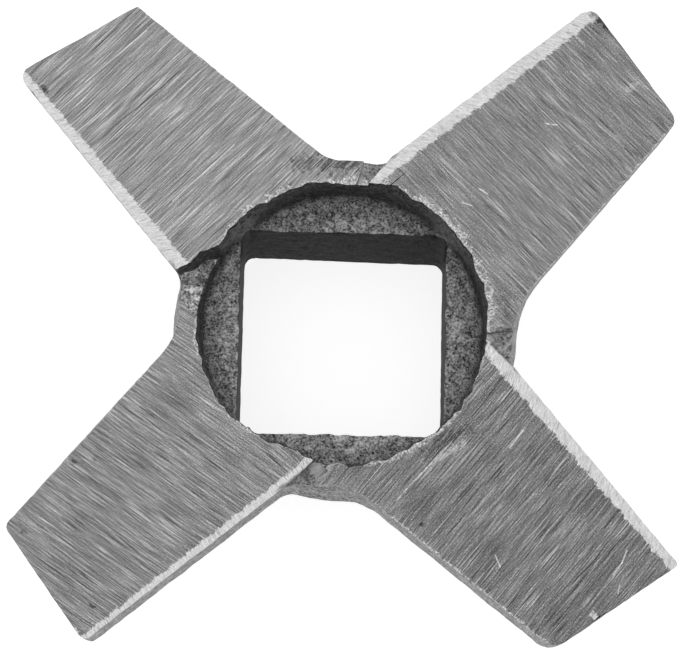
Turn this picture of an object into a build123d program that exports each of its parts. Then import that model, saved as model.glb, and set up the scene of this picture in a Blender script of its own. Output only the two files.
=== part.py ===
from build123d import *
import os
from collections import namedtuple
from math import atan2, cos, degrees, radians, sin, sqrt, tan

# Four-bladed knife of a small hand-cranked meat grinder, cast in steel in one piece.
# The origin is the centre of the hub's back face, on the drive axis. +Z runs along the axis to the
# cutting face, which is ground flat over the hub and all four blades. The knife turns
# counter-clockwise seen from +Z, so the counter-clockwise side of each blade leads.
# Lengths are in millimetres and angles in degrees.

# Hub
hub_height = 10.5  # back face to cutting face
hub_face_radius = 10.0  # where the hub's wall meets the cutting face
hub_belly_radius = 10.5  # at the mould's parting line, where the hub is widest
hub_back_radius = 9.3
hub_back_chamfer = 0.6
casting_shift = 0.2  # how far the casting sits off the drive axis, along +X
parting_depth = 3.0  # depth of the parting line under the cutting face

# Drive hole, and the round recess in front of it
drive_square = 12.7  # across flats
drive_corner_radius = 0.65
drive_skew = 0.25  # how far one corner of the cast hole comes in at the back
recess_radius = 8.72  # at the cutting face
recess_depth = 3.4
recess_draft = 2.5
recess_foot_round = 0.7

# Nominal blade
gauge_radius = 14.0  # distance from the axis at which the blade's width is given
lead_offset = 4.78  # blade axis to leading edge, at the gauge radius
trail_offset = 5.74  # blade axis to trailing edge, at the gauge radius
lead_taper = 5.3  # how much each edge closes in on the blade axis
trail_taper = 5.9
lead_reach = 24.6  # drive axis to the leading tip corner, along the blade axis
trail_reach = 23.05
tip_draft = 3.0  # the tip's end wall, inwards to the back
lead_root_round = 1.5  # in plan, between a leading edge and the hub
root_room = 2.2  # most that a trailing root is rounded, for each millimetre of hub between two blades
blade_start = 5.0  # where the blade's plan begins, inside the hub

# Back of a blade: a flat that falls away to the tip and to the trailing edge, with cast bevels
blade_thickness = 3.9  # on the blade axis, at the gauge radius
back_slope_out = 4.5
back_slope_across = 3.8
back_bevel = 45.0
bevel_depth = 3.4  # below the parting line, more than the blade is thick
root_flare_height = 2.9  # where the cast flare of the backs leaves the hub's wall, under the parting
root_flare_round = 1.6
root_flare_slope = 14.0  # of its outer end
root_flare_sink = 0.03  # how far inside the hub's wall it starts

# Ground strip along each leading edge, and the gullet where it runs on into the hub
strip_angle = 8.0
gullet_depth = 0.5  # at the recess
gullet_fall = 8.0  # slope of its floor, outwards
gullet_mouth = 10.7  # distance from the axis at which it runs out on the leading edge

# Broken-out piece of the recess's rim, between the second and the third blade
break_angles = (146.0, 155.0, 160.0, 165.0, 171.0, 178.0, 181.0)
break_radii = (8.3, 9.5, 9.8, 10.7, 10.2, 9.0, 8.3)  # it opens the hub's wall
break_deep = 2.8  # depth of its floor at the first of these angles
break_shallow = 0.6  # and at the last

cutter_overlap = 0.05  # how far a cutter runs past an edge that it makes
cutter_reach = 3.0  # how far a cutter runs on outside the knife
stock_start = 7.1  # where the back's stock begins, out from the drive axis and to each side
gullet_reach = 4.0

# Each blade is a little different, as it was cast and ground by hand: shifts in mm, turns in degrees.
Blade = namedtuple(
    "Blade",
    "bearing lead_shift lead_turn trail_shift trail_turn lead_extra trail_extra"
    " lead_draft trail_draft lead_round trail_round trail_root_round"
    " strip_root strip_tip gullet_bite gullet_width gullet_spread",
)
blades = (
    Blade(45, 0.1, 0.2, 0.3, -0.5, 0.3, 0.4, 2.0, 3.5, 0.8, 0.8, 6.4, 0.85, 0.95, 0.55, 0.5, 35),
    Blade(135, -0.1, -0.2, -0.1, 0.5, 0.35, 0.0, 5.5, 2.0, 0.75, 0.15, 2.5, 1.0, 0.45, 0.3, 0.8, 10),
    Blade(225, -0.3, 0.35, -0.15, -1.0, -0.4, -0.1, 0.5, 2.0, 0.5, 0.6, 4.5, 0.55, 0.3, 0.15, 0.95, 5),
    Blade(315, 0.3, -0.35, 0.0, 1.0, -0.3, -0.3, 2.0, 0.5, 0.3, 1.2, 3.5, 0.95, 0.6, 0.35, 0.2, 60),
)

face_z = hub_height
parting_z = hub_height - parting_depth
bevel_inset = bevel_depth * tan(radians(back_bevel))


def along(blade):
    """Unit vector out along the blade."""
    return Vector(cos(radians(blade.bearing)), sin(radians(blade.bearing)))


def ahead(blade):
    """Unit vector across the blade, towards its leading edge."""
    return Vector(-sin(radians(blade.bearing)), cos(radians(blade.bearing)))


def lead_point(blade, reach, inset=0.0):
    """Point of the leading edge, this far out along the blade."""
    taper = tan(radians(lead_taper + blade.lead_turn))
    offset = lead_offset + blade.lead_shift - (reach - gauge_radius) * taper - inset
    return along(blade) * reach + ahead(blade) * offset


def trail_point(blade, reach, inset=0.0):
    """Point of the trailing edge, this far out along the blade."""
    taper = tan(radians(trail_taper + blade.trail_turn))
    offset = trail_offset + blade.trail_shift - (reach - gauge_radius) * taper - inset
    return along(blade) * reach - ahead(blade) * offset


def blade_corners(blade, depth, inset):
    """Plan corners of a blade at this depth: leading root and tip, trailing tip and root."""
    lead_inset = depth * tan(radians(blade.lead_draft)) + inset
    trail_inset = depth * tan(radians(blade.trail_draft)) + inset
    tip_inset = depth * tan(radians(tip_draft)) + inset
    return (
        lead_point(blade, blade_start, lead_inset),
        lead_point(blade, lead_reach + blade.lead_extra - tip_inset, lead_inset),
        trail_point(blade, trail_reach + blade.trail_extra - tip_inset, trail_inset),
        trail_point(blade, blade_start, trail_inset),
    )


def crossing(start, end, radius, centre=Vector(0, 0)):
    """Where the line from start through end leaves a circle that start lies in."""
    run = (end - start).normalized()
    back = (start - centre).dot(run)
    gap = (start - centre).length ** 2 - radius**2
    return start + run * (-back + sqrt(back**2 - gap))


def rounded(plan, point, radius):
    """The plan with the corner nearest the point rounded."""
    corner = plan.vertices().sort_by_distance(point)[0]
    return fillet(corner, radius)


def spider_plan(depth, inset, hub_radius):
    """Plan of hub and blades at a depth under the cutting face, with its corners rounded."""
    centre = Vector(casting_shift, 0)
    corners = [blade_corners(blade, depth, inset) for blade in blades]
    plan = Pos(casting_shift, 0) * Circle(hub_radius)
    for points in corners:
        plan += make_face(Polyline(*points, close=True))
    lead_roots = [crossing(points[0], points[1], hub_radius, centre) for points in corners]
    for number, blade in enumerate(blades):
        lead_start, lead_tip, trail_tip, trail_start = corners[number]
        trail_root = crossing(trail_start, trail_tip, hub_radius, centre)
        room = (trail_root - lead_roots[number - 1]).length
        plan = rounded(plan, lead_tip, blade.lead_round)
        plan = rounded(plan, trail_tip, blade.trail_round)
        plan = rounded(plan, lead_roots[number], lead_root_round)
        plan = rounded(plan, trail_root, min(blade.trail_root_round, root_room * room))
    return (Pos(0, 0, face_z - depth) * plan).faces()[0]


def prism(points):
    """Upright prism over a plan outline, running past both faces of the knife."""
    plan = make_face(Polyline(*points, close=True))
    return extrude(Pos(0, 0, -cutter_reach) * plan, hub_height + 2 * cutter_reach)


def over(points, floor):
    """What of such a prism lies above a sloping floor."""
    return split(prism(points), bisect_by=floor, keep=Keep.TOP)


def under(points, roof):
    """What of such a prism lies under a sloping roof."""
    return split(prism(points), bisect_by=roof, keep=Keep.BOTTOM)


def back_plane(blade):
    """Plane of a blade's back: it falls away to the tip and to the trailing edge."""
    origin = along(blade) * gauge_radius + Vector(0, 0, face_z - blade_thickness)
    outward = along(blade) + Vector(0, 0, tan(radians(back_slope_out)))
    forward = ahead(blade) - Vector(0, 0, tan(radians(back_slope_across)))
    return Plane(origin, x_dir=outward, z_dir=outward.cross(forward))


def root_flare():
    """Ring whose hollow outer side flares from the hub's wall out onto the blades' backs."""
    wall = Vector(hub_belly_radius - hub_back_radius, parting_z)
    foot_z = parting_z - root_flare_height
    foot = Vector(hub_back_radius - root_flare_sink, 0) + wall * (foot_z / parting_z)
    turn = degrees(atan2(wall.Y, wall.X)) - root_flare_slope
    bend = JernArc(foot, wall, root_flare_round, -turn)
    rise = parting_z - (bend @ 1).Y
    end = bend @ 1 + Vector(rise / tan(radians(root_flare_slope)), rise)
    rest = Polyline(bend @ 1, end, (0, parting_z), (0, foot_z), foot)
    return Pos(casting_shift, 0) * revolve(Plane.XZ * make_face(bend + rest), Axis.Z)


def below_back(blade):
    """The stock to take off under a blade's back, clear of the blades beside it."""
    inner = along(blade) * stock_start
    outer = along(blade) * (lead_reach + cutter_reach)
    side = ahead(blade) * stock_start
    corners = (inner - side, inner + side, outer + side, outer - side)
    return under(corners, back_plane(blade)) - root_flare()


def spider():
    """Hub and blades down to the blades' backs, drafted away from the parting line."""
    face = spider_plan(0, 0, hub_face_radius)
    belly = spider_plan(parting_depth, 0, hub_belly_radius)
    back = spider_plan(parting_depth + bevel_depth, bevel_inset, hub_belly_radius - bevel_inset)
    body = loft([belly, face], ruled=True) + loft([back, belly], ruled=True)
    for blade in blades:
        body -= below_back(blade)
    return body


def hub_boss():
    """The hub behind the parting line, tapering to its chamfered back edge."""
    profile = make_face(
        Polyline(
            (0, 0), (hub_back_radius, 0), (hub_belly_radius, parting_z), (0, parting_z), close=True
        )
    )
    edge = profile.vertices().sort_by_distance(Vector(hub_back_radius, 0))[0]
    section = chamfer(edge, hub_back_chamfer)
    return Pos(casting_shift, 0) * revolve(Plane.XZ * section, Axis.Z)


def recess():
    """Cutter of the round recess in the cutting face, with a rounded foot."""
    foot_radius = recess_radius - recess_depth * tan(radians(recess_draft))
    floor_z = face_z - recess_depth
    profile = Polyline(
        (0, floor_z),
        (foot_radius, floor_z),
        (recess_radius, face_z),
        (recess_radius, face_z + cutter_reach),
        (0, face_z + cutter_reach),
        close=True,
    )
    section = rounded(make_face(profile), Vector(foot_radius, floor_z), recess_foot_round)
    return revolve(Plane.XZ * section, Axis.Z)


def drive_hole():
    """Cutter of the square hole, whose fourth corner comes in towards the back."""
    half = drive_square / 2
    corners = [(-half, -half), (half, -half), (half, half), (-half, half)]
    front = fillet(make_face(Polyline(*corners, close=True)).vertices(), drive_corner_radius)
    corners[2] = (half, half - drive_skew)
    back = fillet(make_face(Polyline(*corners, close=True)).vertices(), drive_corner_radius)
    return loft([back.faces()[0], (Pos(0, 0, hub_height) * front).faces()[0]], ruled=True)


def ground_strip(blade):
    """Cutter of the shallow strip ground along a leading edge, from the recess to the tip."""
    start = lead_point(blade, blade_start)
    end = lead_point(blade, lead_reach + cutter_reach)
    inner_start = start - ahead(blade) * blade.strip_root
    inner_end = end - ahead(blade) * blade.strip_tip
    overlap = ahead(blade) * cutter_overlap
    run = (inner_end - inner_start).normalized()
    dip = ahead(blade) - Vector(0, 0, tan(radians(strip_angle)))
    floor = Plane(inner_start + Vector(0, 0, face_z), x_dir=run, z_dir=run.cross(dip))
    return over((inner_start, start + overlap, end + overlap, inner_end), floor)


def gullet(blade):
    """Cutter of the groove that the grinding of a leading edge leaves in the hub's face."""
    inner, outer = lead_point(blade, blade_start), lead_point(blade, lead_reach)
    run = (outer - inner).normalized()
    mouth = crossing(inner, outer, gullet_mouth)
    root = crossing(inner, outer, recess_radius)
    root -= ahead(blade) * blade.gullet_bite + (mouth - root) * cutter_overlap
    far_edge = root + ahead(blade) * blade.gullet_width
    far_run = run.rotate(Axis.Z, blade.gullet_spread)
    dip = run - Vector(0, 0, tan(radians(gullet_fall)))
    origin = root + Vector(0, 0, face_z - gullet_depth)
    floor = Plane(origin, x_dir=dip, z_dir=dip.cross(run.rotate(Axis.Z, 90)))
    far_end, near_end = far_edge + far_run * gullet_reach, mouth + run * gullet_reach
    return over((root, mouth, near_end, far_end, far_edge), floor)


def polar(radius, angle):
    """Plan point at a radius and an angle from +X."""
    return Vector(radius * cos(radians(angle)), radius * sin(radians(angle)))


def broken_rim():
    """Cutter of the piece broken out of the recess's rim, with a floor that rises across it."""
    points = [polar(radius, angle) for radius, angle in zip(break_radii, break_angles)]
    deep = points[0] + Vector(0, 0, face_z - break_deep)
    shallow = points[-1] + Vector(0, 0, face_z - break_shallow)
    outward = (points[0] + points[-1]).normalized()
    rise = shallow - deep
    return over(points, Plane(deep, x_dir=rise, z_dir=outward.cross(rise)))


def knife():
    """The whole knife."""
    body = spider() + hub_boss()
    body -= recess()
    body -= drive_hole()
    for blade in blades:
        body -= ground_strip(blade)
        body -= gullet(blade)
    body -= broken_rim()
    return body


os.makedirs("parts", exist_ok=True)
export_step(knife(), "parts/knife.step")
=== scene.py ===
from math import atan2, cos, degrees, exp, hypot, pi, radians, sin, tan

import bmesh
import bpy
from mathutils import Matrix, Vector, noise


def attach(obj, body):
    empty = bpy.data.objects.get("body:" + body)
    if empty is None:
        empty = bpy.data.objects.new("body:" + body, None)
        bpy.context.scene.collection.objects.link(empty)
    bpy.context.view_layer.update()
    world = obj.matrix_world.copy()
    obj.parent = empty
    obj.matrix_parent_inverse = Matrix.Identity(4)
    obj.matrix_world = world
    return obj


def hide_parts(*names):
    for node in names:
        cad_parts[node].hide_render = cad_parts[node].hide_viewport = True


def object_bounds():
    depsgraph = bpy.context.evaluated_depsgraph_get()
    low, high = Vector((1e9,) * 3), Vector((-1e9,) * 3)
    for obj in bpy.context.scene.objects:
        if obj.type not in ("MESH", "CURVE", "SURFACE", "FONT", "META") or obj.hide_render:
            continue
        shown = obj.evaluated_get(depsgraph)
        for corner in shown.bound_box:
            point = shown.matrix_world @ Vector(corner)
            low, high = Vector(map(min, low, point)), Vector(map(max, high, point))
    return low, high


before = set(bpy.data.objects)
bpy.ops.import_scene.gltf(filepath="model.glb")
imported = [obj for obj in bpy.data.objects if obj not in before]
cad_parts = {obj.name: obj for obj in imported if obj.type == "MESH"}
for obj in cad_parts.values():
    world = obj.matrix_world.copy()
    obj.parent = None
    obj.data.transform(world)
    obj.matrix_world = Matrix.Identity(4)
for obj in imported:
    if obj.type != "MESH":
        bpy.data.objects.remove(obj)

cad_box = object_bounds()
scene = bpy.context.scene

# ---------------------------------------------------------------------------------------------
# The work table: a white board that the knife lies on with its cutting face up, under one large
# soft lamp, with white all round it. The camera looks down on it, leaning a little to the front.
# ---------------------------------------------------------------------------------------------


def node(tree, kind, *values, out=0, **settings):
    """Adds a shader node: its settings by name, its inputs in order, each a value or a socket."""
    made = tree.nodes.new(kind)
    for name, value in settings.items():
        setattr(made, name, value)
    for socket, value in zip(made.inputs, values):
        if isinstance(value, bpy.types.NodeSocket):
            tree.links.new(value, socket)
        elif value is not None:
            socket.default_value = value
    return made.outputs[out] if made.outputs else made


def work(tree, operation, *values):
    """One step of arithmetic on numbers."""
    return node(tree, "ShaderNodeMath", *values, operation=operation)


def seen_or_mirrored(tree):
    """1 for what the camera sees, straight, in a mirror or through glass, and 0 for soft light."""
    path = node(tree, "ShaderNodeLightPath").node.outputs
    seen = work(tree, "MAXIMUM", path["Is Camera Ray"], path["Is Glossy Ray"])
    return work(tree, "MAXIMUM", seen, path["Is Transmission Ray"])


view_place = (0.000235, -0.033672, 0.159503)
view_turn = (0.2199, -0.002632, 0.02221)
view_lens = 135.05
view_sensor = 36
view_nearest = 0.001
lamp_place = (-0.25, 0.2, 0.9)
lamp_size = 1.4
lamp_watts = 1.3
room_light = 0.75
board_half = 3
board_white = 0.5
board_rough = 0.9
board_glow = 0.8
white = (1, 1, 1, 1)

camera = bpy.data.objects.new("camera", bpy.data.cameras.new("camera"))
camera.location = view_place
camera.rotation_euler = view_turn
camera.data.lens = view_lens
camera.data.sensor_width = view_sensor
camera.data.clip_start = view_nearest
scene.collection.objects.link(camera)
scene.camera = camera
scene.view_settings.view_transform = "Standard"

lamp = bpy.data.objects.new("lamp", bpy.data.lights.new("lamp", "AREA"))
lamp.data.size = lamp_size
lamp.data.energy = lamp_watts
lamp.location = lamp_place
lamp.rotation_euler = (-lamp.location).to_track_quat("-Z", "Y").to_euler()
lamp.visible_camera = False
scene.collection.objects.link(lamp)

room = bpy.data.worlds.new("room")
room.use_nodes = True
air = room.node_tree
air.nodes.clear()
brightness = node(air, "ShaderNodeMapRange", seen_or_mirrored(air), 0, 1, room_light, 1)
node(air, "ShaderNodeOutputWorld", node(air, "ShaderNodeBackground", white, brightness))
scene.world = room

board_paint = bpy.data.materials.new("board_paint")
board_paint.use_nodes = True
coat = board_paint.node_tree
paint = coat.nodes["Principled BSDF"]
paint.inputs["Base Color"].default_value = (board_white, board_white, board_white, 1)
paint.inputs["Roughness"].default_value = board_rough
paint.inputs["Specular IOR Level"].default_value = 0.0
paint.inputs["Emission Color"].default_value = white
glow = work(coat, "MULTIPLY", seen_or_mirrored(coat), board_glow)
coat.links.new(glow, paint.inputs["Emission Strength"])
# the board is clear from underneath, so that the knife's back can be seen
underneath = node(coat, "ShaderNodeNewGeometry").node.outputs["Backfacing"]
clear = node(coat, "ShaderNodeBsdfTransparent")
one_sided = node(coat, "ShaderNodeMixShader", underneath, paint.outputs[0], clear)
coat.links.new(one_sided, coat.nodes["Material Output"].inputs[0])

board_corners = ((-1, -1), (1, -1), (1, 1), (-1, 1))
board_mesh = bpy.data.meshes.new("board")
board_mesh.from_pydata(
    [(x * board_half, y * board_half, 0) for x, y in board_corners], [], [(0, 1, 2, 3)]
)
board_mesh.materials.append(board_paint)
board = bpy.data.objects.new("board", board_mesh)
scene.collection.objects.link(board)

# ---------------------------------------------------------------------------------------------
# The knife's metal: one steel casting, hub and four blades in one. It was cast in a sand mould,
# so its sides, back and recess are grainy, and only the cutting face and its edges were ground.
# Its mesh is the solid's own, cut finer where the metal is broken, burred or grainy.
# ---------------------------------------------------------------------------------------------
per_metre = 1000  # this section is in millimetres, and only its finished mesh is in metres
face_z = cad_box[1][2] * per_metre
recess_radius = 8.72
recess_floor = face_z - 3.4
hole_half = 6.35
ground_foot = face_z - 0.6  # no ground metal lies below this
shoulder = face_z - 0.05  # the flat of the cutting face lies above this
break_foot = face_z - 3.1  # no broken metal lies below this
break_inner, break_outer = 8.75, 10.95  # how far out the broken metal lies
break_apron = (0.75, 0.25)  # how far the finest facets run on inside that and outside it
break_from, break_to = 143.0, 183.0  # degrees round the hub, where its rim is broken out
slack = 0.05  # between a facet and the surface that it is taken to lie on

# where a blade's lines are measured: how far out from the hub's axis
root_reach, mid_reach, tip_reach = 5, 14, 27.6
bearings = {"NE": 45, "NW": 135, "SW": 225, "SE": 315}
# each blade: its leading edge's offset at mid reach and taper in degrees, the same of its
# trailing edge, and how wide its ground strip is at the root and at the tip
blade_lines = {
    "NE": (4.88, 5.5, 6.04, 5.4, 0.85, 0.95),
    "NW": (4.68, 5.1, 5.64, 6.4, 1.0, 0.45),
    "SW": (4.48, 5.65, 5.59, 4.9, 0.55, 0.3),
    "SE": (5.08, 4.95, 5.74, 6.9, 0.95, 0.6),
}


def across_line(bearing, near, far, side=1):
    """A line along a blade as (x, y, c): x * px + y * py - c is how far a point is outside it."""
    u = Vector((cos(radians(bearing)), sin(radians(bearing))))
    v = Vector((-u.y, u.x)) * side
    start, end = u * near[0] + v * near[1], u * far[0] + v * far[1]
    run = (end - start).normalized()
    out = Vector((-run.y, run.x)) * side
    return out.x, out.y, out.dot(start)


def blade_edges(name):
    """The leading edge, the strip's inner line and the trailing edge of a blade, as such lines."""
    bearing = bearings[name]
    lead, lead_taper, trail, trail_taper, root_width, tip_width = blade_lines[name]
    reaches = (root_reach, tip_reach)
    ahead = [lead - (reach - mid_reach) * tan(radians(lead_taper)) for reach in reaches]
    behind = [trail - (reach - mid_reach) * tan(radians(trail_taper)) for reach in reaches]
    inside = (ahead[0] - root_width, ahead[1] - tip_width)
    return (
        across_line(bearing, (root_reach, ahead[0]), (tip_reach, ahead[1])),
        across_line(bearing, (root_reach, inside[0]), (tip_reach, inside[1])),
        across_line(bearing, (root_reach, behind[0]), (tip_reach, behind[1]), -1),
    )


edge_lines = {name: blade_edges(name) for name in bearings}


def outside(line, point):
    """How far a point lies outside a line."""
    return line[0] * point.x + line[1] * point.y - line[2]


def turn_from(point, angle):
    """How many degrees a point's bearing is away from an angle."""
    return abs((degrees(atan2(point.y, point.x)) - angle + 180) % 360 - 180)


def in_break(point):
    """Whether a point lies where the rim is broken out."""
    return turn_from(point, (break_from + break_to) / 2) < (break_to - break_from) / 2


rim_facet, recess_facet, cast_facet, ground_facet = 0.14, 0.22, 0.42, 0.6
rim_band = 0.5
# how far up a facet's normal points: on ground metal, on a wall, and on the floor of the break
ground_up, wall_up = 0.95, 0.3
break_up = (0.85, 0.96)
# in degrees: how far ahead of a blade's bearing its strip and gullet are centred, how far behind it
# its share of the flat face is, and how far each of them reaches to both sides of that
gullet_turn, gullet_half = 40, 50
land_turn, land_half = 11, 45
# a strip's or a gullet's facets are sunk below the face, and tilted forward or near the strip
sunk_depth = 0.002
strip_tilt = 0.1
strip_band = 0.6


def facet_size(point):
    """The longest edge that the mesh may have at a point."""
    radius = hypot(point.x, point.y)
    inner, outer = break_inner - break_apron[0], break_outer + break_apron[1]
    if point.z > break_foot and inner < radius < outer and in_break(point):
        return rim_facet
    if point.z > ground_foot and abs(radius - recess_radius) < rim_band:
        return rim_facet
    if point.z > recess_floor - 2 * slack and radius < recess_radius + 2 * slack:
        return recess_facet
    return cast_facet if point.z < shoulder else ground_facet


def blade_of(middle, normal):
    """The blade whose grinding a facet of the cutting face or of a gullet belongs to."""
    for name, (lead, strip, _) in edge_lines.items():
        tilt = normal.x * lead[0] + normal.y * lead[1]
        near = turn_from(middle, bearings[name] + gullet_turn) < gullet_half
        sunk = middle.z < face_z - sunk_depth
        if sunk and near and (tilt > strip_tilt or outside(strip, middle) > -strip_band):
            return name
    for name, bearing in bearings.items():
        if turn_from(middle, bearing - land_turn) < land_half:
            return name
    return None


def part_of(face):
    """The name of the surface that a facet belongs to."""
    middle, up = face.calc_center_median(), face.normal.z
    radius = hypot(middle.x, middle.y)
    outward = face.normal.x * middle.x + face.normal.y * middle.y
    broken = break_inner < radius < break_outer and in_break(middle)
    if break_foot < middle.z < shoulder and broken:
        if break_up[0] < up < break_up[1]:
            return "break"
        # the break's walls take the recess's finish, and with it the painted shade of its walls
        if up < wall_up and outward < 0:
            return "recess"
    if up > ground_up and middle.z > ground_foot:
        blade = blade_of(middle, face.normal)
        if blade:
            return blade
    if middle.z > recess_floor - slack and radius < recess_radius + slack:
        return "recess"
    if max(abs(middle.x), abs(middle.y)) < hole_half + slack and abs(up) < wall_up:
        return "hole"
    return "back" if up < -wall_up else "skin"


weld_gap = 0.02
flat_turn = radians(1.5)
level_turn = 0.01
sharp_turn = radians(24)
least_area = 0.22  # of a facet that is cut, for an edge of 1

metal = bmesh.new()
metal.from_mesh(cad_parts["knife"].data)
metal.transform(Matrix.Scale(per_metre, 4))
bmesh.ops.remove_doubles(metal, verts=metal.verts, dist=weld_gap)
bmesh.ops.dissolve_limit(metal, angle_limit=flat_turn, verts=metal.verts, edges=metal.edges)
bmesh.ops.triangulate(metal, faces=metal.faces)
metal.verts.index_update()
places = [vert.co.copy() for vert in metal.verts]
facets = [tuple(vert.index for vert in face.verts) for face in metal.faces]
metal.free()


def halved(facets, places):
    """Splits the longest edge of each facet that is too large, and the facets beside it with it."""
    middles = {}
    for facet in facets:
        corners = [places[i] for i in facet]
        sides = [(corners[k] - corners[k - 2]).length for k in range(3)]  # from k to k + 1
        k = sides.index(max(sides))
        middle = (corners[k] + corners[k - 2]) / 2
        wanted = facet_size(middle)
        area = (corners[1] - corners[0]).cross(corners[2] - corners[0]).length / 2
        key = frozenset((facet[k], facet[k - 2]))
        if sides[k] > wanted and area > least_area * wanted**2 and key not in middles:
            middles[key] = len(places)
            places.append(middle)
    finer = []
    for facet in facets:
        cuts = [middles.get(frozenset((facet[k], facet[k - 2]))) for k in range(3)]
        count = sum(cut is not None for cut in cuts)
        if count == 0:
            finer.append(facet)
        elif count == 3:
            a, b, c = facet
            ab, bc, ca = cuts
            finer += [(a, ab, ca), (b, bc, ab), (c, ca, bc), (ab, bc, ca)]
        elif count == 1:
            k = next(k for k in range(3) if cuts[k] is not None)
            a, b, c = facet[k], facet[k - 2], facet[k - 1]
            finer += [(a, cuts[k], c), (cuts[k], b, c)]
        else:
            k = next(k for k in range(3) if cuts[k] is None)
            c, a, b = facet[k], facet[k - 2], facet[k - 1]
            ab, bc = cuts[k - 2], cuts[k - 1]
            finer.append((ab, b, bc))
            if (places[a] - places[bc]).length < (places[ab] - places[c]).length:
                finer += [(a, ab, bc), (a, bc, c)]
            else:
                finer += [(a, ab, c), (ab, bc, c)]
    return finer


while True:
    count = len(facets)
    facets = halved(facets, places)
    if len(facets) == count:
        break
casting_mesh = bpy.data.meshes.new("knife_casting")
casting_mesh.from_pydata(places, [], facets)
metal = bmesh.new()
metal.from_mesh(casting_mesh)
metal.normal_update()
level = [edge for edge in metal.edges if edge.is_manifold and edge.calc_face_angle() < level_turn]
bmesh.ops.beautify_fill(metal, faces=metal.faces, edges=level, method="ANGLE")

# the cutting face is shaded as flat, and every other surface as curved
surfaces = [*bearings, "recess", "hole", "skin", "back", "break"]
for face in metal.faces:
    face.material_index = surfaces.index(part_of(face))
    face.smooth = surfaces[face.material_index] not in bearings
for edge in metal.edges:
    edge.smooth = edge.calc_face_angle() < sharp_turn

# what the sand mould, the grinding wheel and use left: grain on the cast skin, a ragged burr round
# the recess, a crumbled break, and edges that are not quite straight; the outline never grows
grain_depth = {"recess": 0.16, "hole": 0.05, "skin": 0.05, "back": 0.07, "break": 0.3}
ground_grain = 0.12  # at most, where ground metal meets a grainy surface
rim_ragged = 0.17
rim_foot = face_z - 1  # the recess's wall is ragged down to this
rim_reach = 0.8  # and out to this far from it
edge_ragged = 0.07
edge_from = recess_radius + 0.5
# where the recess's rim bulges in: bearing, width in degrees, depth
rim_bumps = ((90, 9, 0.3), (248, 12, 0.42), (116, 5, 0.12), (300, 6, 0.15), (20, 7, 0.1))
# nicks in the ground edges: x, y, width, depth
nicks = ((-18.66, 14.28, 0.5, 0.3), (9.4, -0.4, 0.7, 0.2), (15.3, -17.4, 0.5, 0.15))
# where the burr round the recess and its painted highlight are strong: bearing, width in degrees,
# strength
burr_glint_places = (
    (128, 22, 0.9),
    (78, 22, 0.9),
    (45, 16, 0.9),
    (12, 20, 1.2),
    (300, 22, 0.8),
    (190, 8, 0.6),
    (225, 14, 0.3),
)
least_burr_glint = 0.12


def waves(place, per_mm, smoothness, octaves, shift=(0, 0, 0)):
    """Fractal noise at a point, between about -1 and 1."""
    return noise.fractal(place * per_mm + Vector(shift), smoothness, 2.0, octaves)


def hump(gap, width):
    """1 where a gap is nothing, and less the wider it is."""
    return exp(-((gap / width) ** 2))


def burr_glint_at(place):
    """How strong the burr round the recess, and its painted highlight, is at a point's bearing."""
    return least_burr_glint + sum(k * hump(turn_from(place, a), w) for a, w, k in burr_glint_places)


def mould_move(vert, names):
    """How the mould's grain pushes a point of the cast skin into the metal."""
    inwards = Vector((0, 0, 0))
    rough = 0.0
    for face in vert.link_faces:
        name = surfaces[face.material_index]
        if name in grain_depth:
            inwards -= face.normal * face.calc_area()
            rough = max(rough, grain_depth[name])
    if names & set(bearings) and rough:
        inwards.z = 0
        rough = min(rough, ground_grain)
    if inwards.length > 0:
        coarse = 0.6 * waves(vert.co, 1.5, 1.0, 4)
        least = -0.5 if names <= {"recess", "hole", "break"} else 0.0
        inwards = inwards.normalized() * rough * min(1, max(least, least + 0.5 + coarse))
    return inwards


def rim_move(place, names):
    """How a point by the recess's rim goes in or out, so that the rim is ragged."""
    radius = hypot(place.x, place.y)
    gap = abs(radius - recess_radius)
    if place.z <= rim_foot or gap >= rim_reach or "break" in names:
        return Vector((0, 0, 0))
    near = max(0, 1 - gap / rim_reach) ** 1.5 * min(1, (place.z - rim_foot) * 1.2)
    ragged = rim_ragged * waves(place, 1.3, 1.0, 2, (7, 3, 1))
    for bearing, width, depth in rim_bumps:
        ragged -= depth * hump(turn_from(place, bearing), width)
    return Vector((place.x, place.y, 0)) / radius * ragged * near


def edge_move(place, names, move):
    """How an edge between ground and cast metal is worn, the way that its point moves already."""
    along = Vector((move.x, move.y, 0))
    mixed = names & set(bearings) and names & set(grain_depth)
    if not mixed or hypot(place.x, place.y) <= edge_from or along.length == 0:
        return Vector((0, 0, 0))
    chip = max(0, waves(place, 1.1, 0.9, 3, (2, 9, 4)) - 0.1)
    for x, y, width, depth in nicks:
        chip += depth / edge_ragged * hump(hypot(place.x - x, place.y - y), width)
    return along.normalized() * edge_ragged * chip


cast_place = metal.verts.layers.float_vector.new("cast_mm")
burr_glint = metal.verts.layers.float.new("burr_glint")
moves = []
for vert in metal.verts:
    vert[cast_place] = vert.co
    vert[burr_glint] = burr_glint_at(vert.co)
    names = {surfaces[face.material_index] for face in vert.link_faces}
    move = mould_move(vert, names) + rim_move(vert.co, names)
    moves.append(move + edge_move(vert.co, names, move))
for vert, move in zip(metal.verts, moves):
    vert.co += move
metal.transform(Matrix.Scale(1 / per_metre, 4))
metal.to_mesh(casting_mesh)
metal.free()
casting = bpy.data.objects.new("knife_casting", casting_mesh)
scene.collection.objects.link(casting)

# the finishes: groups for the belt's marks, single marks and grain, and a material a surface
NUMBER, PLACE = "NodeSocketFloat", "NodeSocketVector"


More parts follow.
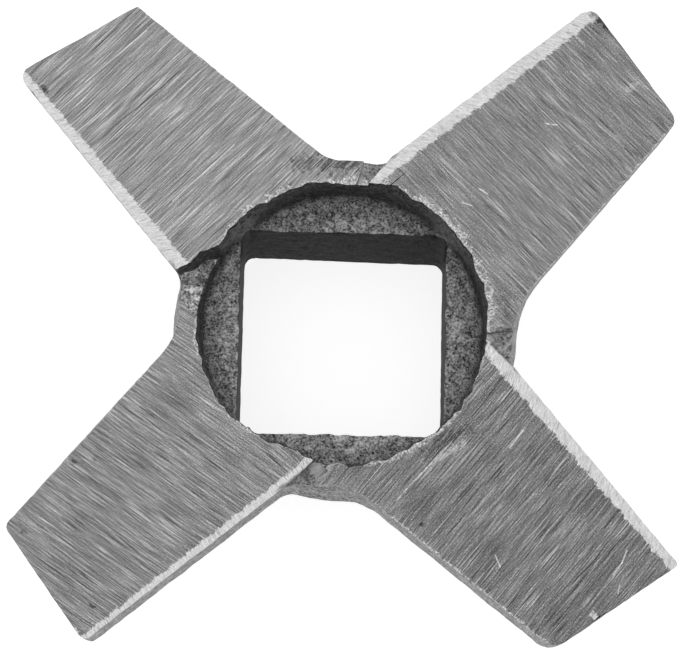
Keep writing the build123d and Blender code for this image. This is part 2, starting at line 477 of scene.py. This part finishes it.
def group(name, takes, gives):
    """An empty node group, with its inputs' and its outputs' sockets."""
    made = bpy.data.node_groups.new(name, "ShaderNodeTree")
    for title, kind, value in takes:
        socket = made.interface.new_socket(title, in_out="INPUT", socket_type=kind)
        if value is not None:
            socket.default_value = value
    for title in gives:
        made.interface.new_socket(title, in_out="OUTPUT", socket_type=NUMBER)
    taken = made.nodes.new("NodeGroupInput").outputs
    given = made.nodes.new("NodeGroupOutput").inputs
    return made, taken, given


def use(tree, effect, **values):
    """Places a group in a material. Its inputs go by name, with _ for a space."""
    placed = tree.nodes.new("ShaderNodeGroup")
    placed.node_tree = effect
    for title, value in values.items():
        socket = placed.inputs[title.replace("_", " ")]
        if isinstance(value, bpy.types.NodeSocket):
            tree.links.new(value, socket)
        else:
            socket.default_value = value
    return placed.outputs


def ramp(tree, value, start, end, low=0.0, high=1.0):
    """A value taken from the range start to end into the range low to high, and held there."""
    return node(tree, "ShaderNodeMapRange", value, start, end, low, high)


def grain(tree, place, scale, detail=2.0, rough=0.55, flat=False):
    """Fractal noise from 0 to 1, so many to the unit."""
    kind = "2D" if flat else "3D"
    return node(
        tree, "ShaderNodeTexNoise", place, None, scale, detail, rough, noise_dimensions=kind
    )


def vector_work(tree, operation, *values, out=0):
    """One step of arithmetic on vectors. A length or a dot product comes out at 1."""
    return node(tree, "ShaderNodeVectorMath", *values, operation=operation, out=out)


def levelled(tree, place):
    """A place brought down to the height 0."""
    return vector_work(tree, "MULTIPLY", place, (1, 1, 0))


# the marks of a coarse belt: fine parallel lines, stray deeper ones, and tone that drifts slowly
sway_width = 0.14
fine_share, middling_share, broad_share = 0.64, 0.24, 0.12
grit_share, drift_share = 0.85, 0.15
fleck_light = 0.55

belt_marks, taken, given = group(
    "belt_marks",
    (
        ("Place", PLACE, None),
        ("Direction", NUMBER, 0.0),
        ("Fineness", NUMBER, 5.0),
        ("Length", NUMBER, 3.0),
        ("Mottle", NUMBER, 0.3),
    ),
    ("Tone", "Bright", "Dark", "Height"),
)
tree = belt_marks
back_turn = work(tree, "MULTIPLY", taken["Direction"], -1)
turned = node(
    tree,
    "ShaderNodeVectorRotate",
    taken["Place"],
    (0, 0, 0),
    (0, 0, 1),
    back_turn,
    rotation_type="Z_AXIS",
)
flat_place = levelled(tree, turned)
drift = grain(tree, flat_place, 0.35, 3)
sway = work(tree, "MULTIPLY", work(tree, "SUBTRACT", drift, 0.5), sway_width)
swayed = vector_work(tree, "ADD", flat_place, node(tree, "ShaderNodeCombineXYZ", 0, sway, 0))
per_length = work(tree, "DIVIDE", 1, taken["Length"])


def belt_lines(along, across, shift, detail=2.0, rough=0.6):
    """Noise drawn out along the belt's run. Each layer has its own scales and its own shift."""
    scale = node(
        belt_marks,
        "ShaderNodeCombineXYZ",
        work(belt_marks, "MULTIPLY", per_length, along),
        work(belt_marks, "MULTIPLY", taken["Fineness"], across),
        1,
    )
    shifted = (shift, shift * 1.7, 0)
    drawn = vector_work(belt_marks, "MULTIPLY_ADD", swayed, scale, shifted)
    return grain(belt_marks, drawn, 1, detail, rough, True)


fine = belt_lines(1.3, 1.9, 0, 2, 0.7)
middling = belt_lines(0.8, 0.7, 13)
broad = belt_lines(0.4, 0.25, 31)
stray = belt_lines(0.6, 1.5, 57, 1)
deep = belt_lines(0.7, 1.2, 93, 1)
grit = grain(tree, flat_place, 11, 2, 0.7)
crowd = ramp(tree, grain(tree, flat_place, 0.5, 1), 0.42, 0.6)
broad_tone = work(tree, "MULTIPLY", broad, broad_share)
tone = work(tree, "ADD", work(tree, "MULTIPLY", middling, middling_share), broad_tone)
tone = work(tree, "MULTIPLY_ADD", fine, fine_share, tone)
drift_tone = work(tree, "MULTIPLY", drift, drift_share)
mottled = work(tree, "ADD", work(tree, "MULTIPLY", grit, grit_share), drift_tone)
flecks = work(tree, "MULTIPLY", ramp(tree, grit, 0.63, 0.7), fleck_light)
in_crowd = work(tree, "MULTIPLY_ADD", crowd, 0.7, 0.3)
bright = work(tree, "MULTIPLY", ramp(tree, stray, 0.66, 0.71), in_crowd)
in_crowd = work(tree, "MULTIPLY_ADD", crowd, 0.6, 0.4)
dark = work(tree, "MULTIPLY", ramp(tree, deep, 0.36, 0.28), in_crowd)
scored = work(tree, "SUBTRACT", fine, work(tree, "MULTIPLY", dark, 0.5))
tree.links.new(node(tree, "ShaderNodeMix", taken["Mottle"], None, tone, mottled), given["Tone"])
tree.links.new(work(tree, "MAXIMUM", bright, flecks), given["Bright"])
tree.links.new(dark, given["Dark"])
tree.links.new(scored, given["Height"])

# a single mark: a scratch from one point to another, or a pit or spot where the two are the same
mark_heart = 0.4  # of its width, where it is at full strength

single_mark, taken, given = group(
    "single_mark",
    (
        ("Place", PLACE, None),
        ("From", PLACE, (0, 0, 0)),
        ("To", PLACE, (1, 0, 0)),
        ("Width", NUMBER, 0.06),
        ("Ragged", NUMBER, 0.5),
    ),
    ("Mask",),
)
tree = single_mark
flat_place = levelled(tree, taken["Place"])
from_start = vector_work(tree, "SUBTRACT", flat_place, taken["From"])
run = vector_work(tree, "SUBTRACT", taken["To"], taken["From"])
squared = work(tree, "MAXIMUM", vector_work(tree, "DOT_PRODUCT", run, run, out=1), 0.0001)
along = vector_work(tree, "DOT_PRODUCT", from_start, run, out=1)
share = ramp(tree, work(tree, "DIVIDE", along, squared), 0, 1)
foot = vector_work(tree, "MULTIPLY", run, node(tree, "ShaderNodeCombineXYZ", share, share, 0))
gap = vector_work(tree, "LENGTH", vector_work(tree, "SUBTRACT", from_start, foot), out=1)
jag = work(tree, "SUBTRACT", grain(tree, flat_place, 4, 3), 0.5)
jag = work(tree, "MULTIPLY", jag, work(tree, "MULTIPLY", taken["Ragged"], taken["Width"]))
gap = work(tree, "ADD", gap, work(tree, "MULTIPLY", jag, 3))
heart = work(tree, "MULTIPLY", taken["Width"], mark_heart)
tree.links.new(ramp(tree, gap, taken["Width"], heart), given["Mask"])

# grain of the sand mould: pebbles, specks between them, and patches where it is rubbed lighter
pebble_share, speck_share, grain_share = 0.7, 0.3, 0.75

mould_grain, taken, given = group(
    "mould_grain",
    (("Place", PLACE, None), ("Size", NUMBER, 0.5), ("Rubbed", NUMBER, 0.3)),
    ("Tone", "Height"),
)
tree = mould_grain
per_size = work(tree, "DIVIDE", 1, taken["Size"])
pebbles = grain(tree, taken["Place"], per_size, 4, 0.6)
specks = grain(tree, taken["Place"], work(tree, "MULTIPLY", per_size, 3.5), 2, 0.5)
patches = grain(tree, taken["Place"], work(tree, "MULTIPLY", per_size, 0.25), 2)
rubbed = work(tree, "MULTIPLY", ramp(tree, patches, 0.45, 0.7), taken["Rubbed"])
speck_height = work(tree, "MULTIPLY", specks, speck_share)
height = work(tree, "ADD", work(tree, "MULTIPLY", pebbles, pebble_share), speck_height)
grain_tone = work(tree, "MULTIPLY", ramp(tree, height, 0.36, 0.64), grain_share)
tree.links.new(height, given["Height"])
tree.links.new(work(tree, "ADD", grain_tone, rubbed), given["Tone"])


def steel(name):
    """A bare material with its shader, and where a point lay in the casting, in millimetres."""
    made = bpy.data.materials.new(name)
    made.use_nodes = True
    place = node(made.node_tree, "ShaderNodeAttribute", attribute_name="cast_mm", out=1)
    return made, made.node_tree, made.node_tree.nodes["Principled BSDF"], place


def finish(tree, shader, shade, roughness, height, depth, metallic):
    """Joins a finish to its shader: grey, roughness, and relief of a depth in metres."""
    tree.links.new(shade, shader.inputs["Base Color"])
    tree.links.new(roughness, shader.inputs["Roughness"])
    shader.inputs["Metallic"].default_value = metallic
    relief = tree.nodes.new("ShaderNodeBump")
    relief.inputs["Strength"].default_value = 1.0
    relief.inputs["Distance"].default_value = depth
    tree.links.new(height, relief.inputs["Height"])
    tree.links.new(relief.outputs[0], shader.inputs["Normal"])


def beyond(tree, place, line):
    """How far a point lies outside a line, in millimetres."""
    reach = vector_work(tree, "DOT_PRODUCT", place, (line[0], line[1], 0), out=1)
    return work(tree, "SUBTRACT", reach, line[2])


def radius_of(tree, place):
    """How far a point is from the hub's axis."""
    return vector_work(tree, "LENGTH", levelled(tree, place), out=1)


# each blade's finish: the belt's run in degrees, grey, contrast, the lines' fineness and length,
# how mottled it is, the run of the strip's own marks, how far the strip's border is torn, and how
# wide the burr, with its painted highlight, is along the trailing edge
blade_finish = {
    "NE": (-45, 0.208, 3.1, 8.5, 2.4, 0.45, -20, 0.32, 0.12),
    "NW": (46, 0.256, 3.0, 8.5, 3.4, 0.30, 12, 0.26, 0.10),
    "SW": (-34, 0.208, 3.5, 9.0, 2.8, 0.34, -60, 0.28, 0.10),
    "SE": (51, 0.166, 3.9, 8.0, 2.8, 0.45, 75, 0.36, 0.20),
}
# the single marks on each blade: from, to, width, raggedness, and how much lighter or darker
single_marks = {
    "NE": (
        ((12.1, 12.6), (12.9, 12.5), 0.05, 1.4, 0.35),
        ((8.1, 8.4), (8.6, 8.1), 0.06, 1.4, 0.35),
        ((7.1, 7.5), (7.7, 7.3), 0.05, 0.6, 0.35),
        ((13.1, 15.2), (16.4, 12.0), 0.07, 0.3, -0.1),
        ((15.2, 12.7), (16.9, 11.2), 0.04, 0.8, 0.22),
        ((9.2, 0.6), (9.9, 1.6), 0.7, 1.3, -0.06),
        ((9.3, -0.1), (9.4, 1.0), 0.3, 2.5, 0.1),
        ((15.0, 19.8), (16.0, 18.9), 0.3, 0.8, -0.3),
        ((4.9, 7.4), (5.6, 6.9), 0.5, 1.5, 0.1),
        ((17.2, 14.9), (17.6, 15.2), 0.3, 1.6, 0.12),
    ),
    "SE": (
        ((6.65, -7.19), (4.6, -9.5), 0.05, 1.4, 0.3),
        ((4.9, -9.1), (3.45, -10.8), 0.05, 1.0, 0.25),
        ((5.2, -8.1), (7.6, -6.4), 0.45, 1.6, -0.06),
        ((6.0, -8.2), (7.4, -7.3), 0.22, 2.0, 0.16),
        ((4.92, -12.2), (4.95, -12.2), 0.16, 0.8, -0.13),
        ((17.03, -13.43), (16.74, -14.2), 0.05, 0.3, 0.35),
        ((16.74, -14.2), (16.21, -14.92), 0.05, 0.3, 0.35),
        ((16.6, -15.5), (16.5, -16.0), 0.05, 0.3, 0.3),
        ((15.1, -17.3), (15.4, -17.5), 0.2, 1.4, 0.4),
        ((10.9, -6.4), (10.1, -7.5), 0.06, 0.5, 0.3),
        ((9.3, -13.9), (9.6, -14.6), 0.06, 0.5, 0.3),
    ),
    "SW": (
        ((-15.8, -8.9), (-15.6, -9.0), 0.16, 0.9, -0.13),
        ((-14.5, -8.7), (-14.4, -8.8), 0.12, 0.9, -0.13),
        ((-18.5, -13.1), (-18.3, -13.2), 0.14, 0.9, -0.13),
        ((-14.3, -17.4), (-14.1, -17.5), 0.13, 0.9, -0.13),
        ((-15.6, -18.6), (-15.0, -19.2), 0.22, 1.2, 0.4),
    ),
    "NW": (
        ((-3.0, 9.7), (0.6, 9.8), 0.6, 1.4, -0.13),
        ((-18.6, 14.2), (-18.4, 14.0), 0.22, 0.9, -0.16),
        ((-16.0, 14.6), (-12.4, 18.0), 0.05, 0.2, 0.3),
        ((-10.4, 7.2), (-6.8, 10.8), 0.05, 0.2, 0.28),
        ((-14.0, 11.9), (-9.8, 15.8), 0.05, 0.2, -0.14),
    ),
}
bright_lines, dark_lines = 0.26, 0.11
strip_sheen_grey = 0.6
strip_belt = {"Fineness": 7.0, "Length": 0.7, "Mottle": 0.45}
gullet_belt = {"Fineness": 4.0, "Length": 1.5, "Mottle": 0.3}
gullet_dark, gullet_light = 0.07, 0.42
gullet_outer, gullet_inner = 11.2, 10.7
darkest_ground = 0.045
burr_glint_cover = 0.85
ground_depth = 0.00002
shade_foot_inner, shade_foot_outer = 7.3, 8.6  # where painted shade darkens the recess's floor towards its wall
unshaded_floor, shaded_floor_foot = 1.12, 0.6
wall_shade_rise = 0.6  # how far up the wall that painted shade goes on


def strip_over(tree, shade, place, name, strip_run, torn):
    """A grey with the strip along a blade's leading edge over it, its lightness a painted
    reflection, and the gullet at its root.
    """
    lead, strip_line, _ = edge_lines[name]
    marks = use(tree, belt_marks, Place=place, Direction=radians(strip_run), **strip_belt)
    tear = work(tree, "MULTIPLY", work(tree, "SUBTRACT", marks["Tone"], 0.5), torn * 2.5)
    teeth = work(tree, "SUBTRACT", grain(tree, place, 2.2, 3, 0.6), 0.5)
    tear = work(tree, "MULTIPLY_ADD", teeth, torn * 1.7, tear)
    on_strip = ramp(tree, work(tree, "ADD", beyond(tree, place, strip_line), tear), -0.03, 0.05)
    # painted reflection: the strip is painted light grey for the light that its tilted face mirrors
    strip = ramp(tree, marks["Tone"], 0.32, 0.68, strip_sheen_grey * 0.55, strip_sheen_grey * 1.38)
    strip = work(tree, "SUBTRACT", strip, work(tree, "MULTIPLY", marks["Dark"], 0.2))
    gullet_run = atan2(lead[0], -lead[1]) + pi
    marks = use(tree, belt_marks, Place=place, Direction=gullet_run, **gullet_belt)
    gullet = ramp(tree, marks["Tone"], 0.2, 0.8, gullet_dark, gullet_light)
    in_gullet = ramp(tree, work(tree, "ADD", beyond(tree, place, lead), tear), -0.2, -0.1)
    by_hub = ramp(tree, radius_of(tree, place), gullet_outer, gullet_inner)
    in_gullet = work(tree, "MULTIPLY", in_gullet, by_hub)
    strip = node(tree, "ShaderNodeMix", in_gullet, None, strip, gullet)
    return node(tree, "ShaderNodeMix", on_strip, None, shade, strip)


def marks_over(tree, shade, place, name):
    """A grey with the single marks of a blade on it."""
    for start, end, width, ragged, change in single_marks[name]:
        ends = {"From": (*start, 0), "To": (*end, 0)}
        mark = use(tree, single_mark, Place=place, **ends, Width=width, Ragged=ragged)["Mask"]
        shade = work(tree, "ADD", shade, work(tree, "MULTIPLY", mark, change))
    return work(tree, "MAXIMUM", shade, darkest_ground)


def burr_glints_over(tree, shade, place, name, burr_glint_width):
    """A grey with the torn, flecked burrs round the recess and along the trailing edge on it, their
    lightness a painted highlight.
    """
    ragged = grain(tree, place, 3.2, 4, 0.65)
    radius = radius_of(tree, place)
    rim_gap = work(tree, "ABSOLUTE", work(tree, "SUBTRACT", radius, recess_radius))
    strength = node(tree, "ShaderNodeAttribute", attribute_name="burr_glint", out=2)
    rim_width = work(tree, "MULTIPLY", ramp(tree, ragged, 0.36, 0.62, 0.03, 0.55), strength)
    on_rim = ramp(tree, work(tree, "SUBTRACT", rim_width, rim_gap), -0.02, 0.05)
    edge_gap = work(tree, "ABSOLUTE", beyond(tree, place, edge_lines[name][2]))
    edge_width = ramp(tree, ragged, 0.38, 0.62, 0.0, burr_glint_width)
    on_edge = ramp(tree, work(tree, "SUBTRACT", edge_width, edge_gap), -0.02, 0.03)
    on_edge = work(tree, "MULTIPLY", on_edge, ramp(tree, radius, 11.0, 12.0))
    cover = work(tree, "MULTIPLY", work(tree, "MAXIMUM", on_rim, on_edge), burr_glint_cover)
    # painted highlight: the burrs are painted light, in flecks, for the light that glints off them
    flecked_glint = ramp(tree, grain(tree, place, 8, 3, 0.7), 0.38, 0.66, 0.12, 0.85)
    return node(tree, "ShaderNodeMix", cover, None, shade, flecked_glint)


def ground_face(name):
    """The cutting face of one blade: the belt's marks, the strip with its painted reflection, and
    the burrs with their painted highlight.
    """
    run, grey, contrast, fineness, length, mottle, strip_run, torn, burr_glint_width = blade_finish[name]
    made, tree, shader, place = steel("ground_face_" + name)
    belt = {"Fineness": fineness, "Length": length, "Mottle": mottle}
    marks = use(tree, belt_marks, Place=place, Direction=radians(run), **belt)
    swing = work(tree, "MULTIPLY", work(tree, "SUBTRACT", marks["Tone"], 0.5), contrast * 2)
    shade = work(tree, "MULTIPLY", work(tree, "EXPONENT", swing), grey)
    shade = work(tree, "ADD", shade, work(tree, "MULTIPLY", marks["Bright"], bright_lines))
    shade = work(tree, "SUBTRACT", shade, work(tree, "MULTIPLY", marks["Dark"], dark_lines))
    shade = strip_over(tree, shade, place, name, strip_run, torn)
    shade = marks_over(tree, shade, place, name)
    shade = burr_glints_over(tree, shade, place, name, burr_glint_width)
    rough = ramp(tree, marks["Tone"], 0.2, 0.8, 0.42, 0.3)
    finish(tree, shader, shade, rough, marks["Height"], ground_depth, 1.0)
    return made


def cast_face(name, darkest, lightest, size, rubbed, metallic, depth, painted_wall_shade=1.0, gloss=0.5):
    """A surface as the mould left it. Painted shade darkens the recess's walls and their foot."""
    made, tree, shader, place = steel(name)
    skin = use(tree, mould_grain, Place=place, Size=size, Rubbed=rubbed)
    shade = ramp(tree, skin["Tone"], 0.1, 0.9, darkest, lightest)
    # painted shade: the walls go dark, and the floor darker towards the wall's foot and lighter
    # away from it
    if painted_wall_shade < 1:
        height = node(tree, "ShaderNodeSeparateXYZ", place, out=2)
        radius = radius_of(tree, place)
        foot = ramp(tree, radius, shade_foot_inner, shade_foot_outer, unshaded_floor, shaded_floor_foot)
        low, high = recess_floor + slack, recess_floor + wall_shade_rise
        shade = work(tree, "MULTIPLY", shade, ramp(tree, height, low, high, foot, painted_wall_shade))
    rough = ramp(tree, skin["Tone"], 0, 1, 0.62, 0.45)
    shader.inputs["Specular IOR Level"].default_value = gloss
    finish(tree, shader, shade, rough, skin["Height"], depth, metallic)
    return made


# each cast surface: its darkest and lightest grey, the grain's size, how much of it is rubbed,
# how metallic it is and how deep its grain, and for some how dark the painted shade on their walls
# is, and their gloss
cast_finish = {
    "cast_recess": (0.01, 0.55, 0.13, 0.3, 0.5, 0.00008, 0.25, 0.3),
    # the hole's walls are painted near black, as painted shade deep in the hole
    "cast_hole_wall_shade": (0.004, 0.022, 0.2, 0.1, 0.0, 0.00004, 1.0, 0.05),
    "cast_skin": (0.06, 0.44, 0.15, 0.25, 0.85, 0.00004),
    "cast_back": (0.1, 0.32, 0.2, 0.25, 0.8, 0.00006),
    "broken_steel": (0.02, 0.85, 0.13, 0.5, 0.8, 0.00012),
}
for name in bearings:
    casting_mesh.materials.append(ground_face(name))
for name, values in cast_finish.items():
    casting_mesh.materials.append(cast_face(name, *values))
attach(casting, "root")
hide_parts("knife")
